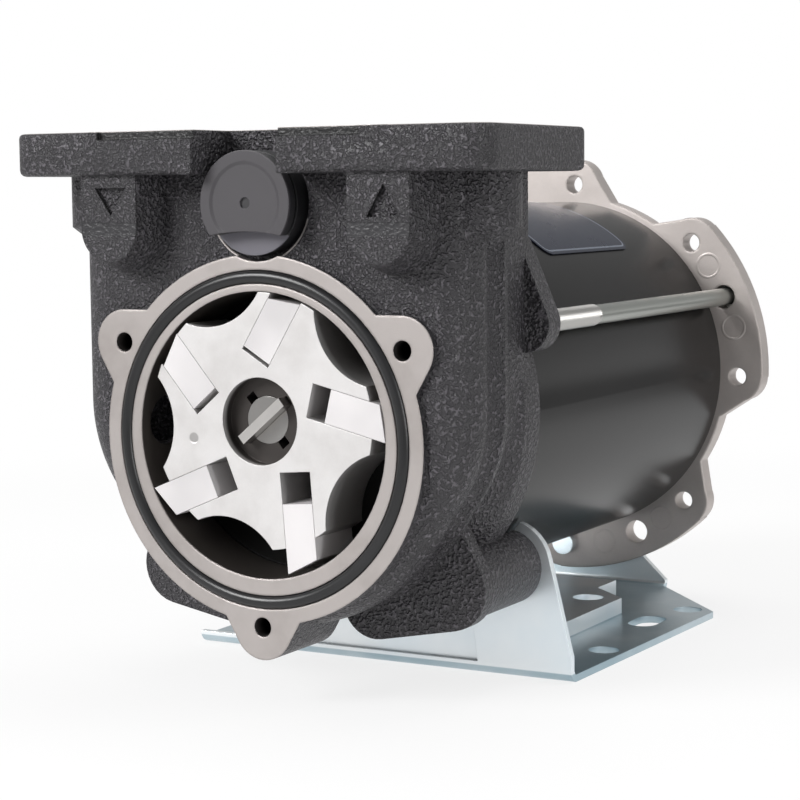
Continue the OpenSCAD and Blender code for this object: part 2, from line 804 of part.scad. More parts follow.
// One lobe of the shield, with round ends about its end holes and flanks that slope to the valleys
module lobe(span) {
    start = polar(tie_pcr, span[0]) + polar(lobe_end_r - vane_gap, span[0] - lobe_flank_deg);
    end = polar(tie_pcr, span[1]) + polar(lobe_end_r - vane_gap, span[1] + lobe_flank_deg);
    low = valley_r - over;
    intersection() {
        circle(lobe_r);
        polygon(concat([[0, 0]], [for (k = [0:4]) polar(lobe_r + lobe_edge, span[0] + (span[1] - span[0]) * k / 4)]));
    }
    for (deg = span) translate(polar(tie_pcr, deg)) circle(lobe_end_r);
    polygon([[0, 0], polar(low, span[0] - lobe_flare_deg), start, end, polar(low, span[1] + lobe_flare_deg)]);
}

module shield_outline() {
    difference() {
        union() {
            circle(valley_r);
            for (span = lobe_spans) lobe(span);
        }
        for (turn = [0, 180]) rotate(turn) {
            for (deg = shield_hole_degs) translate(polar(tie_pcr, deg)) circle(shield_hole_r);
            translate(polar(tie_pcr, shield_big_deg)) circle(shield_big_hole_r);
            translate(polar(tie_pcr, tie_rod_deg)) circle(tie_rod_r + tie_hole_gap);
        }
        translate(polar(tie_pcr, earth_deg)) circle(earth_thread_r + seat_gap);
        translate(polar(tie_pcr, shield_top_deg)) circle(shield_hole_r);
    }
}

// Cast end shield of the motor
module rear_shield() {
    flange_to = shield_front + shield_t;
    color("#a39d97") pump_frame() difference() {
        union() {
            slab_y(shield_front, flange_to) shield_outline();
            bar_y(can_in_r - 2 * seat_gap, shield_front - shield_spigot, shield_front + over);
            ring_y(shield_rim_r, shield_rim_r - shield_rim_t, flange_to - over, flange_to + shield_rim_t);
            bar_y(shield_boss_r, flange_to - over, part_back);
            for (i = [0:rib_n - 1]) rotate([0, -i * 360 / rib_n, 0])
                translate([shield_boss_r - over, flange_to - over, -rib_t / 2])
                    cube([shield_rim_r - shield_boss_r, shield_rim_t + over, rib_t]);
        }
        bar_y(shield_spigot_bore_r, shield_front - shield_spigot - over, shield_front + over);
        bar_y(rear_bearing_r, shield_front - over, rear_bearing_to + washer_t);
        bar_y(grommet_r, shield_front - over, flange_to + over, polar(grommet_pcr, grommet_deg)[0],
            polar(grommet_pcr, grommet_deg)[1]);
    }
}

shield_spigot_bore_r = 44;
grommet_r = 6;
grommet_pcr = 34;
grommet_deg = 30;
grommet_lip = 2;
grommet_bore_r = 3.5;

// Rubber bush where the supply lead would leave the motor
module cable_grommet() {
    at = polar(grommet_pcr, grommet_deg);
    flange_to = shield_front + shield_t;
    color("#1c1c1e") pump_frame() difference() {
        union() {
            bar_y(grommet_r - seat_gap, shield_front - grommet_lip, flange_to + grommet_lip, at[0], at[1]);
            bar_y(grommet_r + grommet_lip, flange_to, flange_to + grommet_lip, at[0], at[1]);
        }
        bar_y(grommet_bore_r, shield_front - grommet_lip - over, flange_to + grommet_lip + over, at[0], at[1]);
    }
}

// Springy washer that takes up the rear bearing's end play
module wave_washer() {
    color("#8f9194") pump_frame() ring_y(rear_bearing_r - 2 * seat_gap, rear_bearing_r - rib_t + seat_gap,
        rear_bearing_to, rear_bearing_to + washer_t);
}

// Two long rods with a head behind the shield and a thread in the pump body
module tie_rods() {
    back = shield_front + shield_t;
    color("#c3c6c4") pump_frame() for (deg = tie_degs) {
        at = polar(tie_pcr, deg);
        bar_y(tie_rod_r, rear_face - tie_in_ear + seat_gap, tie_thread_to, at[0], at[1]);
        bar_y(tie_shank_r, tie_thread_to - over, back + over, at[0], at[1]);
        translate([at[0], back + tie_head_t, at[1]]) rotate([90, 0, 0]) cylinder(r = tie_head_r, h = tie_head_t, $fn = 6);
    }
}

earth_thread_r = 2;
earth_head_r = 3.6;
earth_head_t = 2.4;
earth_tail = 3;

// Screw with a round head and a nut, which also holds the bracket's upright
module earth_screw() {
    at = polar(tie_pcr, earth_deg);
    nut_from = shield_front + shield_t + sheet_t;
    color("#d2d4d4") pump_frame() {
        bar_y(earth_thread_r, shield_front - earth_head_t, nut_from + earth_tail, at[0], at[1], fine_fn);
        bar_y(earth_head_r, shield_front - earth_head_t, shield_front, at[0], at[1], fine_fn);
        bar_y(earth_head_r, nut_from, nut_from + earth_head_t, at[0], at[1], 6);
    }
}

plate_t = 0.4;
plate_from = 92;
plate_to = 150;
plate_low_deg = 47;
plate_high_deg = 96;

// Blank plate that follows the can
module rating_plate() {
    color("#2a3350") pump_frame() slab_y(plate_from, plate_to) intersection() {
        difference() {
            circle(can_r + plate_t);
            circle(can_r + vane_gap);
        }
        polygon([[0, 0], 2 * polar(can_r, plate_low_deg), 2 * polar(can_r, (plate_low_deg + plate_high_deg) / 2),
            2 * polar(can_r, plate_high_deg)]);
    }
}

foot_screw_r = 3;
foot_screw_len = 14;
foot_screw_head_r = 5;
foot_screw_head_t = 6;
foot_washer_r = 5.6;
foot_washer_t = 1.2;
foot_hex_r = 2.9;
foot_hex_deep = 3;

// Outline of the bracket's front wall, seen from the front
foot_floor = -axis_h;
foot_lobe_r = 12.5;
foot_saddle_r = can_r + 0.8;
foot_wall_from = boss_back;
foot_joggle = 1.5;
foot_joggle_x = 33;
foot_bend_r = 3.5;
foot_flare = 2.5;
channel_half_w = 38;
channel_end_half_w = 25;
channel_h = 5;
channel_from = 66;
channel_full_to = 139;
channel_narrow_from = 151;
channel_to = 165;
channel_hole_x = 28.5;
channel_hole_y = 135.7;
channel_hole_r = 4.6;
upright_back = shield_front + shield_t + sheet_t;
upright_half_w = 31.8;
upright_mid = [24.7, -62.3];
upright_top = [20, -57];
upright_tip = [15, -42];
upright_clear_r = shield_rim_r + 0.6;
foot_hole_y0 = 91.5;
foot_slot_x = 48.7;
foot_slot_y = 133;
foot_slot_len = 15.5;

module foot_wall_outline() {
    for (side = [-1, 1]) hull() {
        translate([side * foot_boss_x, -foot_boss_drop]) circle(foot_lobe_r, $fn = fine_fn);
        translate([side * foot_half_w, foot_floor + foot_bend_r]) area([-side * foot_bend_r, 0], [0, foot_bend_r]);
        translate([side * (foot_joggle_x - sheet_t), foot_floor + foot_bend_r]) area([0, 0], [sheet_t, foot_bend_r]);
    }
}

// Outline of the base plate, seen from above
module foot_base_outline() {
    wide = foot_half_w + foot_flare;
    polygon([[-foot_half_w, foot_wall_from + foot_bend_r], [foot_half_w, foot_wall_from + foot_bend_r],
        [wide, foot_back], [upright_half_w, upright_back - foot_bend_r], [-upright_half_w, upright_back - foot_bend_r],
        [-wide, foot_back]]);
}

// Outline of the raised channel, drawn in by the sheet's thickness on demand
module channel_outline(in = 0) {
    side_w = channel_half_w - in;
    end_w = channel_end_half_w - in;
    polygon([[-side_w, channel_from + in], [side_w, channel_from + in], [side_w, channel_full_to],
        [end_w, channel_narrow_from], [end_w, channel_to - in], [-end_w, channel_to - in],
        [-end_w, channel_narrow_from], [-side_w, channel_full_to]]);
}

// Quarter round between the base and a wall, along X
module foot_bend(half_w) {
    translate([-half_w, 0, foot_floor + foot_bend_r]) rotate([90, 0, 90]) linear_extrude(2 * half_w) intersection() {
        difference() {
            circle(foot_bend_r);
            circle(foot_bend_r - sheet_t);
        }
        area([-foot_bend_r, -foot_bend_r], [0, 0]);
    }
}

// Sheet steel foot: front wall, bent base with a raised channel, and the upright behind the shield
module foot_bracket() {
    color("#c9d2d6") pump_frame() difference() {
        union() {
            slab_y(foot_wall_from, foot_wall_from + sheet_t) foot_wall_outline();
            slab_y(foot_wall_from + foot_joggle, foot_wall_from + foot_joggle + sheet_t)
                area([-foot_joggle_x, foot_floor + foot_bend_r], [foot_joggle_x, -foot_boss_drop]);
            translate([0, foot_wall_from + foot_bend_r, 0]) foot_bend(foot_half_w);
            translate([0, 0, foot_floor]) linear_extrude(sheet_t) foot_base_outline();
            translate([0, 0, foot_floor]) linear_extrude(channel_h + sheet_t) channel_outline();
            // upright behind the shield
            translate([0, upright_back - foot_bend_r, 0]) mirror([0, 1, 0]) foot_bend(upright_half_w);
            slab_y(upright_back - sheet_t, upright_back) polygon([[-upright_half_w, foot_floor + foot_bend_r],
                [upright_half_w, foot_floor + foot_bend_r], upright_mid, upright_top, upright_tip,
                [-upright_tip[0], upright_tip[1]], [-upright_top[0], upright_top[1]], [-upright_mid[0], upright_mid[1]]]);
        }
        bar_y(foot_saddle_r, foot_wall_from - over, channel_from);
        bar_y(upright_clear_r, channel_to, upright_back + over);
        bar_y(earth_thread_r + seat_gap, channel_to, upright_back + over, polar(tie_pcr, earth_deg)[0],
            polar(tie_pcr, earth_deg)[1], fine_fn);
        for (side = [-1, 1])
            bar_y(foot_screw_r + 0.3, foot_wall_from - over, channel_from, side * foot_boss_x, -foot_boss_drop);
        translate([0, 0, foot_floor - over]) linear_extrude(channel_h + over) channel_outline(sheet_t);
        for (side = [-1, 1]) {
            for (y = [foot_hole_y0, foot_hole_y0 + foot_hole_dy])
                translate([side * foot_hole_dx / 2, y, foot_floor - over]) cylinder(r = foot_hole_r, h = sheet_t + 2 * over);
            translate([side * foot_slot_x, foot_slot_y, foot_floor - over]) linear_extrude(sheet_t + 2 * over) {
                for (shift = [-1, 1]) translate([0, shift * (foot_slot_len / 2 - foot_hole_r)]) circle(foot_hole_r);
                area([-foot_hole_r, -foot_slot_len / 2 + foot_hole_r], [foot_hole_r, foot_slot_len / 2 - foot_hole_r]);
            }
            translate([side * channel_hole_x, channel_hole_y, foot_floor])
                cylinder(r = channel_hole_r, h = channel_h + sheet_t + over);
        }
    }
}

module bracket_screws() {
    from = foot_wall_from + sheet_t + foot_washer_t;
    color("#c3c6c4") pump_frame() for (side = [-1, 1]) difference() {
        union() {
            bar_y(foot_screw_r - seat_gap, boss_back - foot_screw_len + over, from, side * foot_boss_x, -foot_boss_drop);
            bar_y(foot_screw_head_r, from, from + foot_screw_head_t, side * foot_boss_x, -foot_boss_drop);
        }
        bar_y(foot_hex_r, from + foot_screw_head_t - foot_hex_deep, from + foot_screw_head_t + over,
            side * foot_boss_x, -foot_boss_drop, 6);
    }
}

module bracket_washers() {
    from = foot_wall_from + sheet_t;
    color("#c3c6c4") pump_frame() for (side = [-1, 1])
        ring_y(foot_washer_r, foot_screw_r + seat_gap, from, from + foot_washer_t, side * foot_boss_x, -foot_boss_drop);
}

pump_body();
chamber_o_ring();
rotor();
vane_1();
vane_2();
vane_3();
vane_4();
vane_5();
motor_shaft();
cross_key();
bearing_circlip();
shaft_seal();
front_bearing_outer();
front_bearing_inner();
bypass_cap();
bypass_cap_seal();
bypass_spring();
bypass_poppet();
motor_can();
field_magnets();
armature_core();
armature_windings();
commutator();
brush_holders();
brush_left();
brush_right();
brush_springs();
rear_shield();
rear_bearing_outer();
rear_bearing_inner();
wave_washer();
tie_rods();
earth_screw();
rating_plate();
cable_grommet();
foot_bracket();
bracket_screws();
bracket_washers();
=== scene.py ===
import json
import math

import bmesh
import bpy
from mathutils import Matrix, Vector


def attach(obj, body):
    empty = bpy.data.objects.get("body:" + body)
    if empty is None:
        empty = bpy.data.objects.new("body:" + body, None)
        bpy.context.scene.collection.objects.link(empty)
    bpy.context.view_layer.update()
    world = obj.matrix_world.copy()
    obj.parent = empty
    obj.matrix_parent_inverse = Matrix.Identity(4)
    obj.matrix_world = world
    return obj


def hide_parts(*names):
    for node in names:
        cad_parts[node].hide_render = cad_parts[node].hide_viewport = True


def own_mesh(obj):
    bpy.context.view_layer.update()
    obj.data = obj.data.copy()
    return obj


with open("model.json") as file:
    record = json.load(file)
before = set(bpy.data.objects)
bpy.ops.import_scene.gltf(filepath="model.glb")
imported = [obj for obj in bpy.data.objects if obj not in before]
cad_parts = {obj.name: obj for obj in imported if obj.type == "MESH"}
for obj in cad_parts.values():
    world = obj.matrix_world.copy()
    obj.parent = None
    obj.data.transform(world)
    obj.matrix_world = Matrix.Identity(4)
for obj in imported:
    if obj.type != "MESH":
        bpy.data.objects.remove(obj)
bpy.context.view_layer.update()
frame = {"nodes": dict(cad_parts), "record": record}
nodes = frame["nodes"]
mounts = {m["name"]: Vector(m["pos_m"]) for m in frame["record"]["mounts"]}

# Sizes stand in mm: depths from the ring's face, heights over the motor axis
mm = 0.001
ringDrop, capHigh = 4.8, 54.1
ringAt = mounts["cover_screws"]  # middle of the machined ring, on its face
axisAt = ringAt + Vector((0, 0, ringDrop)) * mm  # motor axis, at the same depth
capAt = axisAt + Vector((0, 0, capHigh)) * mm  # middle of the bypass valve
print("frame loaded:", len(nodes), "nodes")


# Shader values as Python expressions
class Wire:
    def __init__(self, tree, socket=None):
        self.tree = tree
        self.socket = socket

    def add(self, kind, settings, sockets, out=0):
        made = self.tree.nodes.new("ShaderNode" + kind)
        for name, value in settings.items():
            setattr(made, name, value)
        for key, value in sockets.items():
            if isinstance(value, Wire):
                self.tree.links.new(value.socket, made.inputs[key])
            else:
                made.inputs[key].default_value = value
        return Wire(self.tree, made.outputs[out])

    def maths(self, operation, *values):
        return self.add("Math", {"operation": operation}, dict(enumerate(values)))

    def __add__(self, other):
        return self.maths("ADD", self, other)

    def __radd__(self, other):
        return self.maths("ADD", other, self)

    def __sub__(self, other):
        return self.maths("SUBTRACT", self, other)

    def __rsub__(self, other):
        return self.maths("SUBTRACT", other, self)

    def __mul__(self, other):
        return self.maths("MULTIPLY", self, other)

    def __rmul__(self, other):
        return self.maths("MULTIPLY", other, self)

    def __pow__(self, other):
        return self.maths("POWER", self, other)

    def __abs__(self):
        return self.maths("ABSOLUTE", self)

    def highest(self, *others):
        top = self
        for other in others:
            top = top.maths("MAXIMUM", top, other)
        return top

    def step(self, low, high):
        return self.add("MapRange", {"interpolation_type": "SMOOTHSTEP"}, {"Value": self, 1: low, 2: high})

    def past(self, edge):
        # from 0 to 1 between the edge's two values in mm
        low, high = edge
        return self.step(low * mm, high * mm)

    def before(self, edge):
        return 1 - self.past(edge)

    def between(self, span):
        # 1 from low to high, and 0 further out than soft, all in mm
        low, high, soft = span
        return self.past((low - soft, low)) * self.before((high, high + soft))

    def spread(self, base, width):
        return base + self * width

    def blend(self, first, second):
        return self.add("Mix", {"data_type": "RGBA"}, {0: self, 6: first, 7: second}, out=2)

    def noise(self, scale, detail=2.0, roughness=0.5, stretch=(1, 1, 1), warp=0.0):
        place = self.add("Mapping", {}, {"Vector": self, "Scale": stretch})
        return self.add("TexNoise", {}, {"Vector": place, "Scale": scale, "Detail": detail,
                                         "Roughness": roughness, "Distortion": warp})

    def axis(self, letter):
        return self.add("SeparateXYZ", {}, {0: self}, out="XYZ".index(letter))

    def distance(self, at, across=(1, 0, 1)):
        # from the line along Y through the point, or from the point itself with (1, 1, 1)
        moved = self.add("VectorMath", {"operation": "SUBTRACT"}, {0: self, 1: at})
        flat = self.add("VectorMath", {"operation": "MULTIPLY"}, {0: moved, 1: across})
        return self.add("VectorMath", {"operation": "LENGTH"}, {0: flat}, out=1)


def newFinish(name, roughness=0.5, metallic=0.0, colour=(0.5, 0.5, 0.5), **sockets):
    material = bpy.data.materials.new(name)
    material.use_nodes = True
    tree = material.node_tree
    shader = tree.nodes["Principled BSDF"]
    shader.inputs["Roughness"].default_value = roughness
    shader.inputs["Metallic"].default_value = metallic
    shader.inputs["Base Color"].default_value = (*colour, 1)
    for key, value in sockets.items():
        shader.inputs[key.replace("_", " ")].default_value = value
    where = Wire(tree).add("TexCoord", {}, {}, out=3)
    return material, shader, where


def feed(shader, socket, wire):
    wire.tree.links.new(wire.socket, shader.inputs[socket])


def softEdges(where, radius):
    return where.add("Bevel", {"samples": 4}, {"Radius": radius * mm})


def bump(height, strength, distance, under=None):
    sockets = {"Strength": strength, "Distance": distance * mm, "Height": height}
    if under is not None:
        sockets["Normal"] = under
    return height.add("Bump", {}, sockets)


def spoke(degrees):
    # 1 mm outwards from the axis, turned from +X towards +Z
    turn = math.radians(degrees)
    return Vector((math.cos(turn), 0, math.sin(turn))) * mm


def castPaint():
    look = {"paint": (0.031, 0.0292, 0.0328, 1), "raised": (0.124, 0.115, 0.129, 1),
            "smooth": (0.024, 0.023, 0.026, 1), "bare": (0.46, 0.425, 0.41, 1),
            "stain": (0.27, 0.24, 0.225, 1), "bore": (0.13, 0.115, 0.105, 1),
            "dark": (0.003, 0.003, 0.003, 1), "grain": 1080.0, "finer": 2.7, "patches": 60.0,
            "knobs": (0.38, 0.66), "glintTops": (0.48, 0.72), "glintShare": (0.4, 0.6), "stained": 0.45,
            "markShare": 0.8, "holeShadeShare": (0.6, 0.4), "paintRough": (0.34, 0.12), "bareRough": (0.36, 0.14),
            "metallic": 0.85, "smoothed": 0.85, "fineRelief": 0.25, "bareRelief": 0.05}
    ring = {"face": (-0.12, 0.12, 0.05), "edge": (46.5, 46.7), "lugsDeg": (30, 150, 270), "lugOut": 45,
            "lug": (12.4, 12.6), "holeOut": 47.1, "hole": (2.7, 2.8), "holeFrom": (0.3, 0.5),
            "holeTo": (9.5, 10), "holeShadeDeep": (1.5, 5), "groove": (42.6, 42.9), "grooveFrom": (-0.3, 0),
            "grooveTo": (2.8, 3.0)}
    bore = {"drop": 3.6, "edge": (36.3, 36.6), "from": (0.2, 0.6), "floor": (17, 17.8), "to": (21, 22)}
    rim = {"edge": (14.25, 14.75, 0.1), "upTo": (49, 50.5), "deep": (-0.3, 2.3, 0.1)}
    flange = {"top": (71.9, 72.0), "milled": (70.0, 72.3, 0.15), "across": (-40.6, 35.1, 0.2),
              "deep": (-8.6, -8.4)}
    boss = {"marks": (50.0, 59.0, 0.5), "walls": (-7.85, -6.85, 0.05), "across": (34, 45.5, 0.3),
            "band": (46.2, 49.2, 0.4), "face": (-7.9, -7.7)}
    material, shader, where = newFinish("cast_black_paint", colour=look["paint"][:3])
    depth = where.axis("Y") - ringAt.y
    height = where.axis("Z") - axisAt.z
    across = where.axis("X")

    # machined faces
    fromRing = where.distance(ringAt)
    spokes = [spoke(turn) for turn in ring["lugsDeg"]]
    lugs = [where.distance(ringAt + out * ring["lugOut"]).before(ring["lug"]) for out in spokes]
    holes = [where.distance(ringAt + out * ring["holeOut"]).before(ring["hole"]) for out in spokes]
    deep = depth.past(ring["holeFrom"])
    face = depth.between(ring["face"]) * fromRing.before(ring["edge"]).highest(*lugs) * (1 - deep)
    holes = holes[0].highest(*holes[1:]) * deep * depth.before(ring["holeTo"])
    groove = fromRing.before(ring["groove"]) * depth.before(ring["grooveTo"]) * depth.past(ring["grooveFrom"])
    fromBore = where.distance(axisAt - Vector((0, 0, bore["drop"])) * mm)
    chamber = fromBore.before(bore["edge"]) * depth.before(bore["to"]) * depth.past(bore["from"])
    capRim = where.distance(capAt).between(rim["edge"]) * height.before(rim["upTo"]) * depth.between(rim["deep"])
    bare = face.highest(groove, chamber, height.past(flange["top"]), capRim, holes)

    # walls of the sunk flow marks and the milled strip of the flange, both painted near black as painted shade (on the
    # strip it stands in for the shade of a small step), and the smooth band under the marks
    walls = height.between(boss["marks"]) * depth.between(boss["walls"]) \
        * abs(across).between(boss["across"]) * look["markShare"]
    band = height.between(boss["band"]) * depth.before(boss["face"])
    milled = height.between(flange["milled"]) * across.between(flange["across"]) * depth.before(flange["deep"])
    smooth = band.highest(milled)

    # coarse paint; the lighter 'raised' colour on the pebble tops is a painted highlight, standing in for glints on the
    # bumps
    pebble = where.noise(look["grain"], 1.5, 0.5, warp=0.12)
    fine = where.noise(look["grain"] * look["finer"], 2.0, 0.5)
    patches = where.noise(look["patches"], 2.0, 0.5).step(0.2, 0.8)
    glintTops = pebble.step(*look["glintTops"]) * patches.spread(*look["glintShare"])
    painted = smooth.blend(glintTops.blend(look["paint"], look["raised"]), look["smooth"])
    # painted shade: the mark walls and the milled strip are darkened towards the near-black 'dark' colour
    painted = walls.highest(milled * look["markShare"]).blend(painted, look["dark"])

    # bare metal; painted shade darkens the chamber walls ('bore' colour), and the chamber floor and the deep parts of
    # the screw holes ('dark' colour)
    tarnish = where.noise(48.0, 4.0, 0.62).step(0.42, 0.78)
    metal = (tarnish * look["stained"]).blend(look["bare"], look["stain"])
    metal = chamber.blend(metal, look["bore"])
    holeShade = holes * depth.past(ring["holeShadeDeep"]).spread(*look["holeShadeShare"])
    metal = (chamber * depth.past(bore["floor"])).highest(holeShade).blend(metal, look["dark"])

    feed(shader, "Base Color", bare.blend(painted, metal))
    feed(shader, "Metallic", bare * look["metallic"])
    feed(shader, "Roughness", (1 - bare) * fine.spread(*look["paintRough"]) + bare * fine.spread(*look["bareRough"]))
    knobs = pebble.step(*look["knobs"]) + fine * look["fineRelief"]
    relief = (1 - bare) * (1 - smooth * look["smoothed"]) * knobs + bare * fine * look["bareRelief"]
    feed(shader, "Normal", bump(relief, 1.0, 0.5, softEdges(where, 0.7)))
    return material


def plainMetal(name, colour, roughness, grain, edge=0.2, relief=0.01, metallic=1.0, tint=None):
    material, shader, where = newFinish(name, roughness, metallic, colour)
    speck = where.noise(grain, 3.0, 0.6)
    cloud = where.noise(grain * 0.06, 2.0, 0.5)
    darker = tint or tuple(v * 0.8 for v in colour)
    tinted = cloud.step(0.3, 0.75) * 0.6 + speck * 0.2
    feed(shader, "Base Color", tinted.blend((*colour, 1), (*darker, 1)))
    feed(shader, "Roughness", speck.spread(roughness * 0.85, roughness * 0.35))
    feed(shader, "Normal", bump(speck, 0.35, relief, softEdges(where, edge)))
    return material


def plainCoat(name, colour, roughness, grain, edge=0.2, relief=0.01, **sockets):
    material, shader, where = newFinish(name, roughness, 0.0, colour, **sockets)
    speck = where.noise(grain, 2.0, 0.5)
    cloud = where.noise(grain * 0.05, 2.0, 0.5)
    lighter = tuple(min(1, v * 1.25 + 0.002) for v in colour)
    feed(shader, "Base Color", cloud.step(0.35, 0.7).blend((*colour, 1), (*lighter, 1)))
    feed(shader, "Roughness", cloud.spread(roughness * 0.9, roughness * 0.2))
    feed(shader, "Normal", bump(speck, 0.4, relief, softEdges(where, edge)))
    return material


def rotorMetal():
    look = {"face": (0.74, 0.725, 0.72, 1), "dull": (0.56, 0.54, 0.53, 1), "deep": (0.055, 0.049, 0.046, 1),
            "hub": (11.2, 11.4), "hubDeep": (0.6, 2.5), "sideShadeDeep": (0.4, 3), "sideShadeShare": 0.35,
            "markAt": (-19.8, 0, -5.0), "mark": (1.1, 1.5), "markShare": 0.45, "rough": (0.36, 0.16)}
    material, shader, where = newFinish("rotor_metal", metallic=0.7)
    depth = where.axis("Y") - ringAt.y
    hub = where.distance(axisAt).before(look["hub"]) * depth.past(look["hubDeep"])
    sides = depth.past(look["sideShadeDeep"]) * look["sideShadeShare"]
    mark = where.distance(axisAt + Vector(look["markAt"]) * mm).before(look["mark"])
    fine = where.noise(1500.0, 3.0, 0.6)
    cloud = where.noise(90.0, 3.0, 0.55).step(0.35, 0.75)
    shade = (cloud * 0.5 + fine * 0.2).blend(look["face"], look["dull"])
    # painted shade: the hub counterbore and the sides below the face take the darker 'deep' colour; the sunk mark is
    # darkened too
    feed(shader, "Base Color", hub.highest(sides, mark * look["markShare"]).blend(shade, look["deep"]))
    feed(shader, "Roughness", fine.spread(*look["rough"]))
    feed(shader, "Normal", bump(fine * 0.1 - mark, 0.5, 0.25, softEdges(where, 0.3)))
    return material


def capPlastic():
    look = {"face": (0.060, 0.056, 0.062, 1), "step": (0.130, 0.125, 0.145, 1), "side": (0.020, 0.020, 0.022, 1),
            "stepOut": (51.8, 52.0), "stepDeep": (-0.8, -0.6), "faceDeep": (-4.7, -4.4), "rough": (0.38, 0.1)}
    material, shader, where = newFinish("cap_plastic")
    depth = where.axis("Y") - ringAt.y
    step = where.distance(ringAt).before(look["stepOut"]) * depth.before(look["stepDeep"])
    fine = where.noise(1300.0, 2.0, 0.5)
    # painted light and shade on one plastic: the sides behind the front face are painted darker, and the crescent
    # nearest the ring (the 'step') a lighter bluish tone as painted light
    shade = depth.before(look["faceDeep"]).blend(look["side"], look["face"])
    feed(shader, "Base Color", step.blend(shade, look["step"]))
    feed(shader, "Roughness", fine.spread(*look["rough"]))
    feed(shader, "Normal", bump(fine * 0.12, 0.5, 0.22, softEdges(where, 0.3)))
    return material


def shieldMetal():
    look = {"light": (0.60, 0.55, 0.525, 1), "dark": (0.47, 0.43, 0.41, 1), "ringsDeg": (33.9, 13.4, -55.7, -77.0),
            "ringOut": 58.2, "ring": (3.4, 3.8, 0.25), "ringTo": (183.2, 183.4), "rough": (0.40, 0.14)}
    material, shader, where = newFinish("shield_metal", metallic=0.8)
    depth = where.axis("Y") - ringAt.y
    rings = [where.distance(axisAt + spoke(turn) * look["ringOut"]).between(look["ring"])
             for turn in look["ringsDeg"]]
    raised = rings[0].highest(*rings[1:]) * depth.before(look["ringTo"])
    fine = where.noise(800.0, 3.0, 0.6)
    cloud = where.noise(45.0, 3.0, 0.55).step(0.3, 0.75)
    feed(shader, "Base Color", (cloud * 0.6 + fine * 0.2).blend(look["light"], look["dark"]))
    feed(shader, "Roughness", fine.spread(*look["rough"]))
    relief = fine * 0.25 + cloud * 0.2 + raised * 0.6
    feed(shader, "Normal", bump(relief, 0.55, 0.2, softEdges(where, 0.9)))
    return material


def zincSheet():
    look = {"bright": (0.93, 0.965, 0.98, 1), "blue": (0.70, 0.82, 0.90, 1), "shade": (0.34, 0.46, 0.52, 1),
            "baseTop": (2.2, 2.6), "baseShare": (0.6, 0.4), "rough": (0.26, 0.12)}
    material, shader, where = newFinish("zinc_sheet", metallic=0.75)
    fine = where.noise(350.0, 3.0, 0.6)
    cloud = where.noise(22.0, 3.0, 0.55)
    base = where.axis("Z").before(look["baseTop"])
    plated = (cloud.step(0.42, 0.72) * 0.5 + fine * 0.1).blend(look["bright"], look["blue"])
    shaded = base * cloud.step(0.3, 0.7).spread(*look["baseShare"])
    feed(shader, "Base Color", shaded.blend(plated, look["shade"]))
    feed(shader, "Roughness", fine.spread(*look["rough"]))
    feed(shader, "Normal", bump(fine, 0.35, 0.01, softEdges(where, 0.3)))
    return material


def threadedRod():
    look = {"shank": (0.36, 0.375, 0.35, 1), "thread": (0.46, 0.45, 0.435, 1), "threadTo": (83.6, 84.2),
            "rough": (0.28, 0.12)}
    material, shader, where = newFinish("threaded_rod", metallic=0.9)
    threaded = (where.axis("Y") - ringAt.y).before(look["threadTo"])
    fine = where.noise(900.0, 3.0, 0.6, stretch=(1, 0.15, 1))
    feed(shader, "Base Color", (threaded * 0.8 + fine * 0.2).blend(look["shank"], look["thread"]))
    feed(shader, "Roughness", fine.spread(*look["rough"]))
    feed(shader, "Normal", bump(fine, 0.3, 0.01))
    return material


# The label's sizes: inner radius, depth of its middle, and its middle round the can from the top
plate = {"radius": 52.62, "thick": 0.26, "depth": 121.0, "halfLong": 29.0, "middle": 17.0, "halfAround": 22.4,
         "corner": 4.0, "slits": 16}


def plateFilm():
    look = {"film": (0.010, 0.014, 0.030, 1), "edge": (0.16, 0.18, 0.22, 1), "line": (1.1, 1.6, 0.1),
            "rough": (0.22, 0.08)}
    material, shader, where = newFinish("plate_film", 0.25, Specular_IOR_Level=0.3)
    turned = where.maths("ARCTAN2", where.axis("X"), where.axis("Z") - axisAt.z)
    around = turned * (plate["radius"] * mm) - plate["middle"] * mm
    along = where.axis("Y") - ringAt.y - plate["depth"] * mm
    # distance inwards from the outline with its round corners
    over = (abs(around) - (plate["halfAround"] - plate["corner"]) * mm).highest(0.0)
    past = (abs(along) - (plate["halfLong"] - plate["corner"]) * mm).highest(0.0)
    inwards = plate["corner"] * mm - (over ** 2 + past ** 2) ** 0.5
    fine = where.noise(200.0, 2.0, 0.5)
    feed(shader, "Base Color", inwards.between(look["line"]).blend(look["film"], look["edge"]))
    feed(shader, "Roughness", fine.spread(*look["rough"]))
    feed(shader, "Normal", bump(fine, 0.3, 0.01))
    return material


def dress(names, material):
    for name in names:
        slots = nodes[name].data.materials
        slots.clear()
        slots.append(material)


def wholeFaces(name):
    # a copy of a node's triangles, joined to whole faces
    mesh = nodes[name].data.copy()
    stored = mesh.attributes.get("custom_normal")
    if stored:
        mesh.attributes.remove(stored)
    bm = bmesh.new()
    bm.from_mesh(mesh)
    bpy.data.meshes.remove(mesh)
    bmesh.ops.remove_doubles(bm, verts=bm.verts, dist=0.001 * mm)
    bmesh.ops.dissolve_limit(bm, angle_limit=math.radians(0.5), verts=bm.verts, edges=bm.edges)
    return bm


def sharpEdges(bm, least, wanted):
    # outer edges sharper than least degrees, with both ends where they are wanted
    limit = math.radians(least)
    return [e for e in bm.edges if e.is_manifold and e.calc_face_angle_signed() > limit
            and all(wanted((v.co - axisAt) / mm) for v in e.verts)]


def soften(bm, edges, offset, segments, clamp=True):
    bmesh.ops.bevel(bm, geom=edges, offset=offset * mm, segments=segments, profile=0.5, affect="EDGES",
                    clamp_overlap=clamp, material=-1)


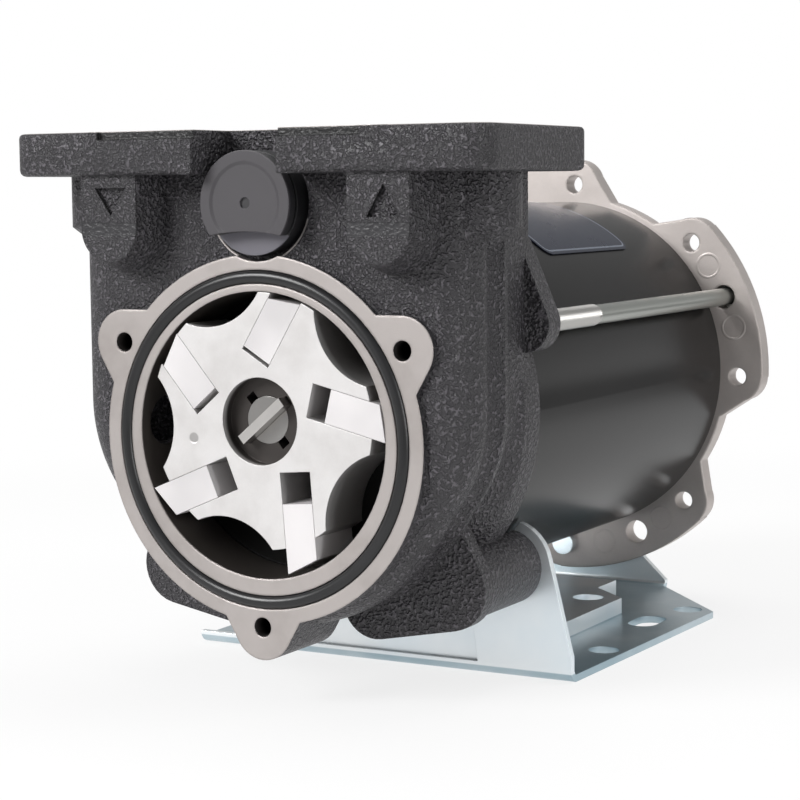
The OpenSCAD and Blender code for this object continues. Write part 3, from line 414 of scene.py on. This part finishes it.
def slit(bm, x, **more):
    # new edges where the mesh crosses a plane at x
    bmesh.ops.bisect_plane(bm, geom=bm.verts[:] + bm.edges[:] + bm.faces[:], plane_no=(1, 0, 0),
                           plane_co=(x * mm, 0, 0), **more)


def fillEnds(bm):
    bmesh.ops.holes_fill(bm, edges=[e for e in bm.edges if e.is_boundary], sides=0)


def makeObject(name, bm):
    mesh = bpy.data.meshes.new(name)
    bm.to_mesh(mesh)
    bm.free()
    made = bpy.data.objects.new(name, mesh)
    bpy.context.collection.objects.link(made)
    bpy.context.view_layer.update()
    return made


def cut(bm, cutters):
    # takes the cutters' space away from the mesh
    bmesh.ops.recalc_face_normals(cutters, faces=cutters.faces)
    body, tool = makeObject("uncut", bm), makeObject("cutter", cutters)
    away = body.modifiers.new("cut", "BOOLEAN")
    away.operation, away.solver, away.object = "DIFFERENCE", "EXACT", tool
    shaped = bpy.data.meshes.new_from_object(body.evaluated_get(bpy.context.evaluated_depsgraph_get()))
    for used in (body, tool):
        bpy.data.objects.remove(used)
    bm = bmesh.new()
    bm.from_mesh(shaped)
    bpy.data.meshes.remove(shaped)
    return bm


def join(bm, part):
    mesh = bpy.data.meshes.new("part")
    part.to_mesh(mesh)
    part.free()
    bm.from_mesh(mesh)
    bpy.data.meshes.remove(mesh)


def place(name, bm, node, body, slot, material, smoothUnder):
    # smooth where faces meet at less than smoothUnder degrees
    bmesh.ops.recalc_face_normals(bm, faces=bm.faces)
    piece = makeObject(name, bm)
    piece.data.materials.append(material)
    piece.data.shade_smooth()
    piece.data.set_sharp_from_angle(angle=math.radians(smoothUnder))
    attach(piece, body)
    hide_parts(node)
    return piece


def drawn(bm, outline, centre):
    # an open line through (depth, radius) points, beside the line along Y through the centre
    points = [bm.verts.new(centre + Vector((radius, depth, 0)) * mm) for depth, radius in outline]
    return points + [bm.edges.new(pair) for pair in zip(points, points[1:])]


def spun(outline, centre, sides=48):
    bm = bmesh.new()
    bmesh.ops.spin(bm, geom=drawn(bm, outline, centre), cent=centre, axis=(0, 1, 0), angle=2 * math.pi,
                   steps=sides, use_merge=True)
    bmesh.ops.remove_doubles(bm, verts=bm.verts, dist=0.001 * mm)
    return bm


def coil(bm, outline, centre, pitch, turns, sides):
    # the outline is swept round, one pitch forward each turn
    bmesh.ops.spin(bm, geom=drawn(bm, outline, centre), cent=centre, axis=(0, 1, 0),
                   dvec=(0, pitch * mm / sides, 0), angle=2 * math.pi * turns, steps=round(sides * turns))


def castBody():
    shape = {"under": {"level": 61.2, "from": 17.0, "round": 1.6}, "upper": {"level": 72.1, "from": 44.0, "round": 1.2},
             "sides": 62, "front": -9.5, "back": 48.5, "padFace": -8.0, "markDeep": 1.3, "markHeight": 54.6,
             "marks": ({"middle": -38.3, "up": -1, "half": 4.8, "tall": 7.0},
                       {"middle": 40.5, "up": 1, "half": 4.6, "tall": 7.8})}
    bm = wholeFaces("pump_body")
    for edge in (shape["under"], shape["upper"]):
        # the flange's outline, from a little beside the notch outwards
        for side in (-1, 1):
            slit(bm, side * edge["from"], dist=0.0001 * mm)
        outline = sharpEdges(bm, 60, lambda v: abs(v.z - edge["level"]) < 0.05 and abs(v.x) > edge["from"] - 0.1
                             and (abs(v.x) > shape["sides"] or v.y < shape["front"] or v.y > shape["back"]))
        soften(bm, outline, edge["round"], 3, False)
    cutters = bmesh.new()
    for mark in shape["marks"]:
        # a triangle ahead of the boss, drawn back into it
        tip = mark["up"] * mark["tall"] / 2
        corners = [(mark["middle"] - mark["half"], -tip), (mark["middle"] + mark["half"], -tip), (mark["middle"], tip)]
        points = [cutters.verts.new(axisAt + Vector((x, shape["padFace"] - 1, shape["markHeight"] + z)) * mm)
                  for x, z in corners]
        wall = bmesh.ops.extrude_face_region(cutters, geom=[cutters.faces.new(points)])
        moved = [v for v in wall["geom"] if isinstance(v, bmesh.types.BMVert)]
        bmesh.ops.translate(cutters, verts=moved, vec=(0, (1 + shape["markDeep"]) * mm, 0))
    place("castBody", cut(bm, cutters), "pump_body", "housing", "cast_black", castPaint(), 32)


def bypassCap():
    shape = {"face": -5.3, "rimFrom": 10.2, "floorTo": 9.4, "sink": 0.35, "edge": 0.35, "edgesTo": 4.3, "edgesFrom": 5}
    bm = wholeFaces("bypass_cap")
    front, back = shape["face"], shape["face"] + shape["sink"]
    outline = sharpEdges(bm, 60, lambda v: v.y < front + shape["edgesTo"]
                         and math.hypot(v.x, v.z - capHigh) > shape["edgesFrom"])
    soften(bm, outline, shape["edge"], 2)
    dish = spun([(front - 1, 0), (front - 1, shape["rimFrom"] + 1), (front, shape["rimFrom"]),
                 (back, shape["floorTo"]), (back, 0)], capAt)
    place("bypassCap", cut(bm, dish), "bypass_cap", "housing", "cap_plastic", capPlastic(), 15)


def tieRods():
    shape = {"atDeg": (23.2, 203.2), "out": 58.1, "threadFrom": 41.3, "threadTo": 84.0, "pitch": 1.0, "core": 2.5,
             "crest": 2.98, "shank": 2.65, "lap": 1.2, "backFace": 189.0, "intoHead": 0.5, "head": 4.0, "headR": 5.0,
             "ease": 0.5, "sides": 24}
    bm = bmesh.new()
    for turn in shape["atDeg"]:
        middle = axisAt + spoke(turn) * shape["out"]
        thread = bmesh.new()
        ridges = int((shape["threadTo"] - shape["threadFrom"]) / shape["pitch"])
        outline = [(shape["threadFrom"] + k * shape["pitch"] / 2, shape["crest"] if k % 2 else shape["core"])
                   for k in range(2 * ridges - 1)]
        coil(thread, outline, middle, shape["pitch"], 1, shape["sides"])
        bmesh.ops.remove_doubles(thread, verts=thread.verts, dist=0.01 * mm)
        fillEnds(thread)
        join(bm, thread)
        front, back = shape["threadTo"] - shape["lap"], shape["backFace"] + shape["intoHead"]
        join(bm, spun([(front, 0), (front, shape["shank"]), (back, shape["shank"]), (back, 0)], middle, shape["sides"]))
        head = bmesh.new()
        bmesh.ops.create_cone(head, cap_ends=True, segments=6, radius1=shape["headR"] * mm,
                              radius2=shape["headR"] * mm, depth=shape["head"] * mm)
        rim = [e for e in head.edges if all(v.co.z > 0 for v in e.verts)]
        soften(head, rim, shape["ease"], 2)
        bmesh.ops.rotate(head, verts=head.verts, matrix=Matrix.Rotation(math.radians(-90), 3, "X"))
        bmesh.ops.translate(head, verts=head.verts,
                            vec=middle + Vector((0, shape["backFace"] + shape["head"] / 2, 0)) * mm)
        join(bm, head)
    place("tieRods", bm, "tie_rods", "housing", "zinc", threadedRod(), 35)


def ratingPlate():
    # cut flat, corners rounded, then bent round the can
    bm = bmesh.new()
    bmesh.ops.create_grid(bm, x_segments=1, y_segments=1, size=1)
    bmesh.ops.scale(bm, verts=bm.verts, vec=(plate["halfAround"] * mm, plate["halfLong"] * mm, 1))
    bmesh.ops.bevel(bm, geom=list(bm.verts), offset=plate["corner"] * mm, segments=6, profile=0.5,
                    affect="VERTICES", material=-1)
    for k in range(1 - plate["slits"], plate["slits"]):
        slit(bm, k * plate["halfAround"] / plate["slits"])
    bmesh.ops.solidify(bm, geom=bm.faces[:], thickness=plate["thick"] * mm)
    low = min(v.co.z for v in bm.verts)
    for vert in bm.verts:
        turn = (vert.co.x / mm + plate["middle"]) / plate["radius"]
        out = plate["radius"] * mm + vert.co.z - low
        vert.co = axisAt + Vector((out * math.sin(turn), vert.co.y + plate["depth"] * mm, out * math.cos(turn)))
    place("ratingPlate", bm, "rating_plate", "housing", "plate_blue", plateFilm(), 35)


def bypassSpring():
    shape = {"radius": 4.4, "wire": 0.58, "from": 7.6, "to": 20.3, "turns": 6, "sides": 18, "seat": 6.4, "lift": 4.0}
    centre = capAt
    bm = bmesh.new()
    ring = [(shape["from"] + shape["wire"] * math.cos(math.radians(turn)),
             shape["radius"] + shape["wire"] * math.sin(math.radians(turn))) for turn in range(0, 361, 45)]
    coil(bm, ring, centre, (shape["to"] - shape["from"]) / shape["turns"], shape["turns"], shape["sides"])
    bmesh.ops.remove_doubles(bm, verts=bm.verts, dist=0.001 * mm)
    fillEnds(bm)
    spring = place("bypassSpring", bm, "bypass_spring", "housing", "spring_steel", springSteel, 60)
    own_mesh(spring)


dress(["chamber_o_ring", "bypass_cap_seal", "shaft_seal", "cable_grommet"],
      plainCoat("seal_rubber", (0.008, 0.008, 0.009), roughness=0.30, grain=900.0))
dress(["rotor"], rotorMetal())
dress(["vane_1", "vane_2", "vane_3", "vane_4", "vane_5"],
      plainCoat("vane_plastic", (0.57, 0.552, 0.555), roughness=0.38, grain=700.0, edge=0.25))
dress(["motor_shaft", "front_bearing_outer", "front_bearing_inner", "rear_bearing_outer", "rear_bearing_inner"],
      plainMetal("turned_steel", (0.36, 0.35, 0.34), roughness=0.30, grain=1500.0))
dress(["cross_key"], plainMetal("key_steel", (0.66, 0.64, 0.62), roughness=0.32, grain=1500.0, edge=0.3))
springSteel = plainMetal("spring_steel", (0.42, 0.42, 0.43), roughness=0.32, grain=1500.0, edge=0.1)
dress(["bearing_circlip", "brush_springs", "wave_washer"], springSteel)
dress(["bypass_poppet"], plainMetal("brass", (0.70, 0.53, 0.25), roughness=0.30, grain=1500.0))
dress(["motor_can"], plainCoat("can_black", (0.004, 0.0038, 0.0038), roughness=0.26, grain=260.0, edge=0.3,
                               relief=0.02, Specular_IOR_Level=0.22))
dress(["field_magnets", "armature_core"],
      plainMetal("dark_iron", (0.20, 0.20, 0.21), roughness=0.55, grain=900.0, relief=0.02, metallic=0.6))
dress(["armature_windings", "commutator"],
      plainMetal("copper", (0.62, 0.30, 0.16), roughness=0.35, grain=900.0, relief=0.02))
dress(["brush_left", "brush_right"],
      plainCoat("carbon", (0.02, 0.02, 0.021), roughness=0.55, grain=900.0, relief=0.02))
dress(["brush_holders"], plainCoat("board", (0.30, 0.20, 0.11), roughness=0.55, grain=500.0, relief=0.02))
dress(["rear_shield"], shieldMetal())
dress(["foot_bracket"], zincSheet())
dress(["earth_screw", "bracket_screws", "bracket_washers"],
      plainMetal("zinc", (0.86, 0.92, 0.95), roughness=0.22, grain=350.0, edge=0.3, metallic=0.9,
                 tint=(0.62, 0.74, 0.82)))
print("finishes made")

castBody()
bypassCap()
tieRods()
ratingPlate()
bypassSpring()
print("pieces made")


def addCamera():
    view = {"azimuth": 29.129, "pitch": 5.684, "roll": -0.578, "focalShare": 2118 / 800, "sensor": 36,
            "clip": (0.02, 50), "fromRing": (285.2, -439.9, 61.9)}
    azimuth, pitch, roll = (math.radians(view[k]) for k in ("azimuth", "pitch", "roll"))
    back = Vector((math.sin(azimuth) * math.cos(pitch), -math.cos(azimuth) * math.cos(pitch), math.sin(pitch)))
    right = (-back).cross(Vector((0, 0, 1))).normalized()
    up = right.cross(-back)
    across = right * math.cos(roll) + up * math.sin(roll)
    upward = up * math.cos(roll) - right * math.sin(roll)
    lens = bpy.data.cameras.new("camera")
    lens.sensor_width = view["sensor"]
    lens.lens = view["sensor"] * view["focalShare"]
    lens.clip_start, lens.clip_end = view["clip"]
    camera = bpy.data.objects.new("camera", lens)
    camera.matrix_world = Matrix((across, upward, back)).transposed().to_4x4()
    camera.location = ringAt + Vector(view["fromRing"]) * mm
    bpy.context.collection.objects.link(camera)
    bpy.context.scene.camera = camera


def addLamp(name, place, aim, size, power):
    lamp = bpy.data.lights.new(name, "AREA")
    lamp.shape = "RECTANGLE"
    lamp.size, lamp.size_y = size
    lamp.energy = power
    holder = bpy.data.objects.new(name, lamp)
    holder.location = place
    holder.rotation_mode = "QUATERNION"
    holder.rotation_quaternion = (Vector(aim) - Vector(place)).to_track_quat("-Z", "Y")
    bpy.context.collection.objects.link(holder)


def rayIs(tree, kind):
    return Wire(tree).add("LightPath", {}, {}, out="Is " + kind + " Ray")


def seenStraight(tree):
    # 1 for camera, glossy and transmission rays
    return rayIs(tree, "Camera").highest(rayIs(tree, "Glossy"), rayIs(tree, "Transmission"))


def addSky():
    sky = {"fill": 0.38, "window": (-0.6, -0.78, 0.17), "windowEdge": (-0.7, 0.9), "windowShare": (0.35, 1.3),
           "ceiling": 0.6, "ceilingEdge": (-0.1, 0.3)}
    world = bpy.data.worlds.new("studio")
    bpy.context.scene.world = world
    world.use_nodes = True
    tree = world.node_tree
    background = tree.nodes["Background"]
    background.inputs["Color"].default_value = (1, 1, 1, 1)
    # white where it is seen, a fill that is brighter towards the window, and a darker ceiling for gloss
    way = Wire(tree).add("TexCoord", {}, {})
    above = way.axis("Z").step(*sky["ceilingEdge"])
    facing = way.add("VectorMath", {"operation": "DOT_PRODUCT"}, {0: way, 1: sky["window"]}, out=1)
    fill = sky["fill"] * facing.step(*sky["windowEdge"]).spread(*sky["windowShare"])
    straight = seenStraight(tree)
    strength = (straight + (1 - straight) * fill) * (1 - rayIs(tree, "Glossy") * above * sky["ceiling"])
    tree.links.new(strength.socket, background.inputs["Strength"])


def addFloor():
    look = {"halfSize": 6, "near": (0.85, 0.85, 0.85, 1), "room": (0.08, 0.08, 0.08, 1), "farEdge": (0.2, 0.75),
            "whiteEdge": (0.12, 0.5), "glow": 0.8, "farShade": 0.8}
    bm = bmesh.new()
    bmesh.ops.create_grid(bm, x_segments=1, y_segments=1, size=look["halfSize"])
    floor = makeObject("floor", bm)
    material, shader, where = newFinish("floor_white", 0.9)
    tree = material.node_tree
    glow = Wire(tree).add("Emission", {}, {"Color": (1, 1, 1, 1), "Strength": 1.0})
    away = where.distance((0, 0, 0), (1, 1, 1))
    far, white = away.step(*look["farEdge"]), away.step(*look["whiteEdge"])
    feed(shader, "Base Color", far.blend(look["near"], look["room"]))
    # the glow fades into full white for the camera, and far off it is darker for gloss
    seen = seenStraight(tree) * look["glow"] * (1 - far * rayIs(tree, "Glossy") * look["farShade"]) \
        + white * rayIs(tree, "Camera") * (1 - look["glow"])
    mixed = seen.add("MixShader", {}, {0: seen, 1: Wire(tree, shader.outputs[0]), 2: glow})
    tree.links.new(mixed.socket, tree.nodes["Material Output"].inputs["Surface"])
    floor.data.materials.append(material)


def addStudio():
    middle = (0, 0, 0.07)
    lamps = {"key": {"place": (-0.85, -1.35, 0.95), "size": (0.7, 0.7), "power": 26},
             "strip": {"place": (1.3, -0.5, 0.2), "size": (0.16, 0.9), "power": 5},
             "rim": {"place": (1.2, 0.5, 0.8), "size": (0.4, 0.9), "power": 3},
             "top": {"place": (0.1, 0.3, 1.5), "size": (1.0, 0.8), "power": 10}}
    for name, lamp in lamps.items():
        addLamp(name, lamp["place"], middle, lamp["size"], lamp["power"])
    addSky()
    addFloor()
    bpy.context.scene.view_settings.view_transform = "Standard"


addCamera()
addStudio()
print("camera and studio set")
